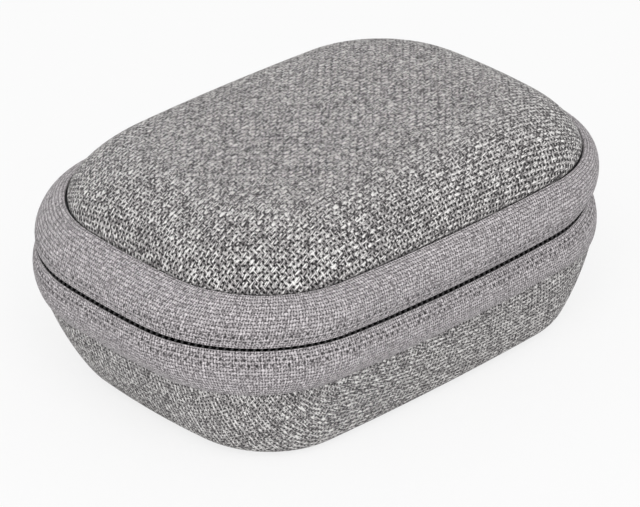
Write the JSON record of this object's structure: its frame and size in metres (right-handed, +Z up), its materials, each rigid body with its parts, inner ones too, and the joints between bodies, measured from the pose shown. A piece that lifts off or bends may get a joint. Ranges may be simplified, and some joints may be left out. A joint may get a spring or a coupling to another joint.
{
  "type": "earbud case",
  "caption": "Rounded zipped hard case for earbuds: moulded foam base and lid in grey woven cloth, zip bands round the middle, cloth hinge and net pocket.",
  "frame": {"origin": "centre of the flat underside of the base", "axes": "+X along the length, -Y towards the front where the case opens, +Y towards the cloth hinge, +Z up through the lid"},
  "size_m": [0.1062, 0.0765, 0.0463],
  "materials": {
    "outer_cloth": "woven, grey melange",
    "foam": "matte moulded foam",
    "lining": "short brushed knit",
    "binding": "ribbed tape",
    "dark_thread": "twisted thread",
    "zip_tape": "fine plain weave",
    "hinge_cloth": "fine plain weave",
    "zip_coil": "satin nylon",
    "tape_thread": "twisted thread",
    "net": "open knit",
    "elastic": "ribbed elastic",
    "slider_metal": "satin dark plating",
    "pull_metal": "satin dark plating"
  },
  "bodies": {
    "base": {"base_cover": "outer_cloth", "base_shell": "foam", "base_lining": "lining", "base_binding": "binding", "base_binding_seam": "dark_thread", "base_zip_tape": "zip_tape", "base_zip_coil": "zip_coil", "base_hinge_seam": "tape_thread", "hinge_strip": "hinge_cloth", "hinge_lining": "binding"},
    "lid": {"lid_cover": "outer_cloth", "lid_shell": "foam", "lid_lining": "lining", "lid_binding": "binding", "lid_binding_seam": "dark_thread", "lid_zip_tape": "zip_tape", "lid_zip_coil": "zip_coil", "lid_hinge_seam": "tape_thread", "pocket_net": "net", "pocket_edge_tape": "binding", "pocket_elastic": "elastic"},
    "slider": {"slider_body": "slider_metal"},
    "pull": {"slider_pull": "pull_metal"}
  },
  "joints": [
    {"name": "lid_hinge", "type": "hinge", "parent": "base", "child": "lid", "pos_m": [0, 0.03873, 0.0262], "axis": [-1, 0, 0], "range_deg": [0, 180], "deforming": ["hinge_strip", "hinge_lining"]},
    {"name": "slider_travel", "type": "hinge", "parent": "base", "child": "slider", "pos_m": [0.023, 0.0078, 0.0262], "axis": [0, 0, -1], "range_deg": [0, 37]},
    {"name": "pull_swing", "type": "hinge", "parent": "slider", "child": "pull", "pos_m": [0.0443, 0.03318, 0.0262], "axis": [0.766, -0.6428, 0], "range_deg": [-15, 135]}
  ]
}
